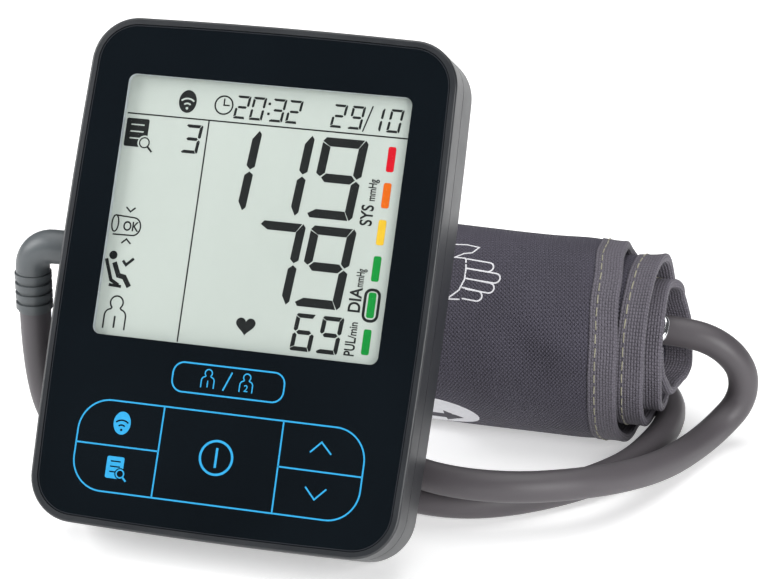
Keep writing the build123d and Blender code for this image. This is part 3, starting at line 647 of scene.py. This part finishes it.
def panel_edge():
    """Polished chamfer round the front panel, which catches the light as a thin line."""
    panel = nodes["front_panel"]
    front = PANEL_CENTRE + FACE_OUT * PANEL_HALF
    flat = []
    for vertex in panel.data.vertices:
        place = panel.matrix_world @ vertex.co - front
        if abs(place.dot(FACE_OUT)) < 0.05 * MM:
            flat.append(Vector((place.dot(FACE_RIGHT), place.dot(FACE_UP))) / MM)
    rim = [flat[index] for index in convex_hull_2d(flat)]
    count = len(rim)
    mesh = bmesh.new()
    rings = []
    for inset, lift in ((-0.02, -0.6), (-0.02, -0.12), (0.16, 0.04), (0.42, 0.05), (0.42, -0.6)):
        ring = []
        for index in range(count):
            before, here, after = rim[index - 1], rim[index], rim[(index + 1) % count]
            way = (after - before).normalized()
            spot = here + Vector((-way.y, way.x)) * inset
            ring.append(
                mesh.verts.new(front + (FACE_RIGHT * spot.x + FACE_UP * spot.y + FACE_OUT * lift) * MM)
            )
        rings.append(ring)
    for one, two in zip(rings, rings[1:] + rings[:1]):
        for index in range(count):
            after = (index + 1) % count
            mesh.faces.new((one[index], one[after], two[after], two[index]))
    finish_piece("panel_edge_chamfer", mesh, PANEL_EDGE, smooth=20)


def light_window_walls():
    """The panel's cut edge round the display is clear acrylic and shows pale."""
    panel = nodes["front_panel"].data
    panel.materials.append(ACRYLIC)
    turn = nodes["front_panel"].matrix_world
    for face in panel.polygons:
        normal = (turn.to_3x3() @ face.normal).normalized()
        middle = turn @ face.center - LCD_CENTRE
        inside = abs(middle.dot(FACE_RIGHT)) < 41 * MM and abs(middle.dot(FACE_UP)) < 37 * MM
        if inside and abs(normal.dot(FACE_OUT)) < 0.5:
            face.material_index = 1


light_window_walls()
panel_edge()
draw_display()
draw_keys()

# ---------------------------------------------------------------- rolled cuff
ROLL_RADIUS = 28.7
ROLL_PITCH = 4.8
CUFF_WIDTH = 145.0
BINDING = 7.0
LAST_TURN = 3.0 + 110.0 / 360.0
TAIL_LENGTH = 14.0
CUFF_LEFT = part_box("left_binding")[0].x / MM
ROLL_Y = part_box("right_binding")[0].y / MM + ROLL_RADIUS

# (turn, shift): how far right, in mm, the edges stand, from the outer end of the cloth inwards.
EDGE_SHIFTS = (
    (-0.1, 2.4), (0.0, 0.6), (0.14, -0.7), (0.28, -0.9), (0.4, -2.4), (0.5, -4.2), (0.6, -5.2),
    (0.7, -2.5), (0.85, 5.4), (0.92, 6.8), (1.0, 5.4), (1.25, 6.3), (1.5, 6.2), (1.8, 7.6),
    (2.0, 9.2), (2.25, 10.4), (2.5, 9.2), (2.65, 10.8), (2.8, 13.4), (2.9, 14.4), (3.0, 12.2),
    (3.32, 9.6),
)


def edge_shift(turn):
    """How far right a turn's edges stand of the nominal ones, with a slight waver."""
    waver = noise.noise(Vector((turn * 7.0, 3.7, 1.9))) * 0.45
    for (before, first), (after, last) in zip(EDGE_SHIFTS, EDGE_SHIFTS[1:]):
        if turn <= after:
            share = max(0.0, (turn - before) / (after - before))
            share = share * share * (3 - 2 * share)
            return first + (last - first) * share + waver
    return EDGE_SHIFTS[-1][1] + waver


def roll_place(turn, depth):
    """World (y, z) in mm at turn (in whole turns from the outer end), depth inside the roll."""
    if turn < 0:
        return ROLL_Y - turn * 2 * math.pi * ROLL_RADIUS, depth
    half = min(int(turn * 2), 6)
    swing = (turn * 2 - half) * math.pi
    radius = ROLL_RADIUS - depth - half * ROLL_PITCH / 2
    if half % 2 == 0:
        return ROLL_Y - radius * math.sin(swing), ROLL_RADIUS - radius * math.cos(swing)
    centre = ROLL_RADIUS + ROLL_PITCH / 2
    return ROLL_Y + radius * math.sin(swing), centre + radius * math.cos(swing)


def cloth_length(turn):
    """Length of cloth at mid depth from where the roll begins to turn, in mm."""
    if turn < 0:
        return turn * 2 * math.pi * ROLL_RADIUS
    half = min(int(turn * 2), 6)
    radii = [ROLL_RADIUS - 2.2 - h * ROLL_PITCH / 2 for h in range(half + 1)]
    return math.pi * (sum(radii[:half]) + (turn * 2 - half) * radii[half])


# A dent in the front of the outer turn, as (turn, place across the cloth).
DENT_TURN = 0.265
DENT_ACROSS = 122.0
# A soft crease rises from the dent over this share of a turn.
CREASE_TURNS = 0.17
# The second turn's crown lifts against the outer turn.
CROWN_TURN = 1.5
CROWN_LIFT = 2.7


def roll_ripple(turn, across):
    """Depth, in mm, of the soft dents, the seam puckers and the crumpled inner end."""
    y, z = roll_place(turn, 0)
    edge = min(across, CUFF_WIDTH - across)
    along = cloth_length(turn)
    broad = noise.noise(Vector((across * 0.024, y * 0.05, z * 0.05 + turn))) * 0.6
    pucker = math.exp(-(((edge - BINDING - 2) / 9.0) ** 2)) * 0.55
    crease = noise.noise(Vector((along * 0.12, across * 0.035, 3.1 * turn))) * pucker
    wave = noise.noise(Vector((along * 0.055, 9.0, 0.0 if across < 70 else 5.0)))
    sway = wave * 0.8 * math.exp(-edge / 16.0)
    inner = max(0.0, turn - 2.45) / 0.85
    fold = abs(noise.noise(Vector((along * 0.17, across * 0.05, 2.0)))) * 2.6 * inner
    above = turn - DENT_TURN
    beside = across - DENT_ACROSS
    from_dent = math.hypot(beside * 0.9 + above * 90, above * 130)
    dent = 1.3 * math.exp(-((from_dent / 6.0) ** 2)) if turn < 0.5 else 0.0
    rise = above / CREASE_TURNS
    if 0.0 < rise < 1.0:
        from_crease = beside + 5.0 + 11.0 * rise
        dent += 0.7 * math.sin(math.pi * rise) * math.exp(-((from_crease / 6.0) ** 2))
    closer = -CROWN_LIFT * math.exp(-(((turn - CROWN_TURN) / 0.22) ** 2)) * math.exp(-edge / 14.0)
    return max(-0.4, min(2.6, broad + crease + sway + fold + dent - 0.05)) + closer


def strip(name, look, first, last, across, profile, replaces, step):
    """A closed band wound along the roll.

    across is the list of places over the width and profile(place) gives the outer and inner
    depth there; both surfaces and the four edges are made, with cloth coordinates.
    """
    steps = max(2, round((last - first) * 360 / step))
    mesh = bmesh.new()
    cloth = mesh.loops.layers.uv.new("cloth")
    rows = []
    for index in range(steps + 1):
        turn = first + (last - first) * index / steps
        shift = edge_shift(turn)
        row = []
        for side in (0, 1):
            for place in across if side == 0 else reversed(across):
                depth = profile(place)[side] + roll_ripple(turn, place)
                y, z = roll_place(turn, depth)
                x = CUFF_LEFT + place + shift
                vertex = mesh.verts.new((x * MM, y * MM, max(z, 0.02) * MM))
                row.append((vertex, (place + (200 if side else 0), cloth_length(turn))))
        rows.append(row)
    return wound(name, mesh, cloth, rows, look, replaces)


def wound(name, mesh, cloth, rows, look, replaces):
    """Faces between rings of (vertex, cloth place) and over both ends."""
    count = len(rows[0])
    for one, two in zip(rows, rows[1:]):
        for index in range(count):
            after = (index + 1) % count
            corners = (one[index], one[after], two[after], two[index])
            face = mesh.faces.new([corner[0] for corner in corners])
            for loop, corner in zip(face.loops, corners):
                loop[cloth].uv = corner[1]
    for row in (rows[0], rows[-1]):
        face = mesh.faces.new([corner[0] for corner in row])
        for loop, corner in zip(face.loops, row):
            loop[cloth].uv = corner[1]
    return finish_piece(name, mesh, look, replaces=replaces, smooth=45)


def spaced(start, end, pitch):
    count = max(1, round((end - start) / pitch))
    return [start + (end - start) * index / count for index in range(count + 1)]


def seam_pull(place, reach):
    """1 at the width's edges, falling to 0 over reach."""
    edge = min(place, CUFF_WIDTH - place)
    return math.exp(-((max(0.0, edge - 4.0) / reach) ** 2))


def shell_profile(place):
    """The outer cloth dips where the binding holds it down."""
    dip = 0.45 * seam_pull(place, 5.0)
    return 0.05 + dip, 0.5 + dip


def lining_profile(place):
    """The lining comes up towards the outer cloth at the edges, where there is no padding."""
    rise = 1.9 * seam_pull(place, 9.0)
    return 3.75 - rise, 4.15 - rise


def fill_profile(place):
    rise = 1.3 * seam_pull(place, 11.0)
    return 0.95, 3.3 - rise


TAIL = TAIL_LENGTH / (2 * math.pi * ROLL_RADIUS)
FINE = spaced(2.0, 26.0, 1.5) + spaced(28.5, 116.5, 2.9) + spaced(119.0, 143.0, 1.5)
COARSE = spaced(2.0, 143.0, 3.4)
shell = strip(
    "cuff_shell_fabric", CLOTH, -TAIL, LAST_TURN, FINE, shell_profile,
    replaces=("cuff_outer",), step=2.5,
)
strip(
    "cuff_lining_fabric", CLOTH, -TAIL, LAST_TURN, COARSE, lining_profile,
    replaces=("cuff_inner",), step=4.0,
)
strip(
    "cuff_bladder_sheet", FILL, 1.5, LAST_TURN - 0.02, spaced(12.0, 133.0, 8.0),
    fill_profile, replaces=("cuff_bladder",), step=5.0,
)
strip(
    "cuff_padding_sheet", FILL, 0.02, 1.48, spaced(11.0, 134.0, 8.0), fill_profile,
    replaces=("cuff_padding",), step=5.0,
)


def tape_section():
    """Outline across the binding: out over the top, round the edge, back beneath, and inside."""
    top = [
        (BINDING * (1 - share), 0.02 + 0.3 * math.sin(math.pi * share) * share)
        for share in spaced(0.0, 1.0, 0.1)
    ]
    nose = [
        (-0.15 - 0.75 * math.sin(a), 1.3 - 1.25 * math.cos(a))
        for a in [math.pi * k / 10 for k in range(1, 10)]
    ]
    below = [(BINDING * share, 2.6 + 0.1 * math.sin(math.pi * share)) for share in spaced(0, 1, 0.1)]
    inside = [(BINDING - 0.01, 2.1)]
    inside += [(BINDING * (1 - share), 2.1) for share in (0.4, 0.9)]
    inside += [(0.45, 1.3)]
    inside += [(BINDING * share, 0.5) for share in (0.1, 0.6)]
    inside += [(BINDING - 0.01, 0.46)]
    return top + nose + below, inside


def binding_tape(name, right, replaces):
    """Tape folded over the cuff's edge and wound along the whole roll."""
    outside, inside = tape_section()
    outline = outside + inside
    run = [0.0]
    for one, two in zip(outline, outline[1:]):
        run.append(run[-1] + math.hypot(two[0] - one[0], two[1] - one[1]))
    mesh = bmesh.new()
    cloth = mesh.loops.layers.uv.new("cloth")
    rows = []
    for turn in spaced(-TAIL, LAST_TURN, 2.5 / 360):
        shift = edge_shift(turn)
        row = []
        for (place, depth), across in zip(outline, run):
            side = CUFF_WIDTH - place if right else place
            y, z = roll_place(turn, depth + roll_ripple(turn, side))
            x = CUFF_LEFT + side + shift
            vertex = mesh.verts.new((x * MM, y * MM, max(z, 0.02) * MM))
            row.append((vertex, (across, cloth_length(turn))))
        rows.append(row)
    return wound(name, mesh, cloth, rows, TAPE, replaces)


left_tape = binding_tape("cuff_binding_left", False, ("left_binding",))
right_tape = binding_tape("cuff_binding_right", True, ("right_binding",))


def stitches(name, right):
    """A row of thread stitches along the tape, nearer its inner edge."""
    mesh = bmesh.new()
    length, gap, radius = 2.7, 0.8, 0.2
    total = cloth_length(LAST_TURN - 0.01)
    turns = spaced(-TAIL + 0.005, LAST_TURN - 0.005, 0.0035)
    lengths = [cloth_length(turn) for turn in turns]
    start = lengths[0] + 0.5
    index = 0
    count = 0
    while start + length < total:
        place = 5.1 + 0.22 * noise.noise(Vector((start * 0.09, 0, 4)))
        slope = 0.16 * math.sin(count * 2.1)
        rings = []
        for share in (0.0, 0.12, 0.5, 0.88, 1.0):
            want = start + share * length
            while lengths[index] < want:
                index += 1
            turn = turns[index]
            away = place + slope * (share - 0.5)
            side = CUFF_WIDTH - away if right else away
            sunk = 0.3 if share in (0.0, 1.0) else -0.08
            depth = 0.1 + sunk + roll_ripple(turn, side)
            y, z = roll_place(turn, depth)
            y2, z2 = roll_place(turn, depth + radius)
            x = CUFF_LEFT + side + edge_shift(turn)
            ring = []
            for corner in range(6):
                a = 2 * math.pi * corner / 6
                over, out = radius * math.cos(a), math.sin(a)
                height = max(z + (z2 - z) * out, 0.02)
                ring.append(mesh.verts.new(((x + over) * MM, (y + (y2 - y) * out) * MM, height * MM)))
            rings.append(ring)
        for one, two in zip(rings, rings[1:]):
            for corner in range(6):
                after = (corner + 1) % 6
                mesh.faces.new((one[corner], one[after], two[after], two[corner]))
        mesh.faces.new(rings[0])
        mesh.faces.new(list(reversed(rings[-1])))
        start += length + gap
        count += 1
    return finish_piece(name, mesh, THREAD, smooth=60)


left_stitches = stitches("cuff_stitches_left", False)
right_stitches = stitches("cuff_stitches_right", True)


# ---------------------------------------------------------------- printing on the cuff
def on_cuff(x, y, lift):
    """World x and the distance y up the front of the roll from its middle, both in mm."""
    turn = 0.25 + y / (2 * math.pi * ROLL_RADIUS)
    across = x - CUFF_LEFT - edge_shift(turn)
    depth = 0.05 - lift + roll_ripple(turn, across)
    spot_y, spot_z = roll_place(turn, depth)
    return Vector((x * MM, spot_y * MM, spot_z * MM))


def draw_cuff_marks():
    """An open hand in plain outline, and an oval patch with a plain arrow cut out of it."""
    mark = Artwork(on_cuff, low=-0.03, high=0.05)
    line = 0.42
    fingers = ((18.5, 26.6, 29.4), (19.2, 29.2, 26.0), (19.4, 28.0, 22.8), (18.8, 25.0, 19.9))
    for root, tip, level in fingers:
        half = 1.55
        mark.stroke(
            [(root, level + half + 0.5)]
            + arc(tip - half, level, half, 85, -85, 8)
            + [(root + 0.6, level - half + 0.3)],
            line,
        )
    palm = [(18.1, 31.6), (18.9, 28.0), (19.2, 24.5), (18.2, 21.0), (15.6, 18.4), (7.0, 17.6)]
    mark.stroke(palm, line)
    mark.stroke([(18.8, 18.3), (12.0, 17.8)], line)
    mark.stroke(
        [(18.1, 31.6), (14.8, 31.6), (17.2, 33.4), (19.4, 34.0), (20.8, 36.6), (17.0, 37.3),
         (9.0, 36.4), (2.0, 33.0)],
        line,
    )
    mark.done("cuff_hand_print", WHITE)
    oval = Artwork(on_cuff, low=-0.03, high=0.05)
    oval.patch(
        [
            (7.0 - 17.5 * math.cos(a), 7.0 + 17.5 * math.cos(a), -22.3 + 9.0 * math.sin(a))
            for a in [math.pi * (k / 16 - 0.5) * 0.995 for k in range(17)]
        ]
    )
    oval.done("cuff_oval_print", WHITE)
    arrow = Artwork(on_cuff, low=0.0, high=0.09)
    arrow.prism([(19.5, -24.3), (14.0, -20.3), (14.0, -22.7), (4.0, -22.7), (4.0, -25.9),
                 (14.0, -25.9), (14.0, -28.3)])
    arrow.done("cuff_oval_arrow", CLOTH)


draw_cuff_marks()

# ---------------------------------------------------------------- air hose
HOSE_RADIUS = 4.3
# From the cuff to the plug, as (x from the monitor's middle, y back from the face, z up), in mm.
HOSE_ROUTE = [
    (88, 117.5, 34.2),
    (99, 117.5, 34.2),
    (112, 118.3, 32.4),
    (120.4, 121.3, 23.6),
    (120.4, 123, 12.4),
    (114.2, 117, 5.4),
    (109.5, 104, 4.4),
    (104.5, 88, 6),
    (98, 71, 9.5),
    (88, 56, 12.8),
    (73, 47.3, 13.5),
    (57, 45.3, 13.5),
    (43, 48.5, 13.5),
    (28, 60.5, 12.8),
    (12, 69, 8.5),
    (-10, 72, 4.6),
    (-35, 76, 4.4),
    (-58, 90, 4.4),
    (-70, 112, 4.4),
    (-68, 138, 4.4),
    (-50, 156, 4.4),
    (-20, 163, 4.4),
    (20, 165, 4.4),
    (60, 162, 4.4),
    (84, 153, 4.4),
    (97, 137, 4.4),
    (100.4, 120, 4.4),
    (98.5, 104, 4.4),
    (94.8, 89, 4.4),
    (87, 75.5, 4.4),
    (77, 64.5, 4.4),
    (65.5, 55.7, 4.4),
    (54, 51.3, 4.4),
    (41, 51.7, 4.4),
    (28, 56.6, 4.4),
    (12, 59.5, 4.4),
    (-10, 59.8, 4.4),
    (-29, 57, 4.4),
    (-47, 51.5, 5),
    (-60, 48.6, 13),
    (-65.3, 47.33, 29.6),
    (-65.3, 47.33, 49.6),
]
MONITOR_X = PANEL_CENTRE.x / MM
FACE_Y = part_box("front_housing")[0].y / MM


def air_hose():
    curve = bpy.data.curves.new("air_hose_tube", "CURVE")
    curve.dimensions = "3D"
    spline = curve.splines.new("NURBS")
    spline.points.add(len(HOSE_ROUTE) - 1)
    for point, (x, y, z) in zip(spline.points, HOSE_ROUTE):
        point.co = ((x + MONITOR_X) * MM, (y + FACE_Y) * MM, z * MM, 1.0)
    spline.order_u = 3
    spline.use_endpoint_u = True
    spline.resolution_u = 12
    curve.bevel_depth = HOSE_RADIUS * MM
    curve.bevel_resolution = 8
    curve.use_fill_caps = True
    curve.materials.append(HOSE)
    piece = bpy.data.objects.new("air_hose_tube", curve)
    bpy.context.scene.collection.objects.link(piece)
    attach(piece, "root")
    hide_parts("air_hose")


air_hose()

# ---------------------------------------------------------------- floor, light and camera
FLOOR_REACH = 6.0
FLOOR_GLOW = 0.4
SKY_STRENGTH = 0.08
# (name, place in m, size in m, power in W)
LAMPS = (
    ("top", (-0.1, 0.15, 1.5), 1.6, 20.0),
    ("left", (-1.3, -0.55, 0.8), 0.9, 20.0),
    ("right", (1.15, -1.1, 0.6), 1.1, 24.0),
)
LAMP_AIM = Vector((0, 0, 0.05))
CAMERA_AZIMUTH = math.radians(16.0)
CAMERA_ELEVATION = math.radians(22.0)
CAMERA_DISTANCE = 0.76
CAMERA_LENS = 128.24
CAMERA_AIM = Vector((0.0025, 0.0053, 0.05385))


def studio():
    """A white floor that glows a little, a pale sky and three soft lamps."""
    floor_mesh = bmesh.new()
    bmesh.ops.create_grid(floor_mesh, x_segments=1, y_segments=1, size=FLOOR_REACH)
    data = bpy.data.meshes.new("floor")
    floor_mesh.to_mesh(data)
    floor_mesh.free()
    floor = bpy.data.objects.new("floor", data)
    bpy.context.scene.collection.objects.link(floor)
    made, shader = material("floor_white", (0.9, 0.9, 0.9), 0.9, Specular_IOR_Level=0.1)
    shader.inputs["Emission Color"].default_value = (1.0, 1.0, 1.0, 1.0)
    shader.inputs["Emission Strength"].default_value = FLOOR_GLOW
    data.materials.append(made)
    world = bpy.data.worlds.new("studio")
    bpy.context.scene.world = world
    world.use_nodes = True
    sky = world.node_tree.nodes["Background"]
    sky.inputs["Color"].default_value = (0.95, 0.97, 1.0, 1.0)
    sky.inputs["Strength"].default_value = SKY_STRENGTH
    for name, place, size, power in LAMPS:
        lamp = bpy.data.lights.new(name, "AREA")
        lamp.size = size
        lamp.energy = power
        holder = bpy.data.objects.new(name, lamp)
        bpy.context.scene.collection.objects.link(holder)
        holder.location = place
        aim = LAMP_AIM - Vector(place)
        holder.rotation_euler = aim.to_track_quat("-Z", "Y").to_euler()


def camera():
    """The photograph's view: from the right of the front and a little above."""
    level = math.cos(CAMERA_ELEVATION)
    look = Vector(
        (
            -math.sin(CAMERA_AZIMUTH) * level,
            math.cos(CAMERA_AZIMUTH) * level,
            -math.sin(CAMERA_ELEVATION),
        )
    )
    lens = bpy.data.cameras.new("camera")
    lens.lens = CAMERA_LENS
    lens.sensor_width = 36.0
    lens.clip_start = 0.01
    holder = bpy.data.objects.new("camera", lens)
    bpy.context.scene.collection.objects.link(holder)
    holder.location = CAMERA_AIM - look * CAMERA_DISTANCE
    holder.rotation_euler = look.to_track_quat("-Z", "Y").to_euler()
    bpy.context.scene.camera = holder


studio()
camera()
bpy.context.scene.view_settings.view_transform = "Standard"
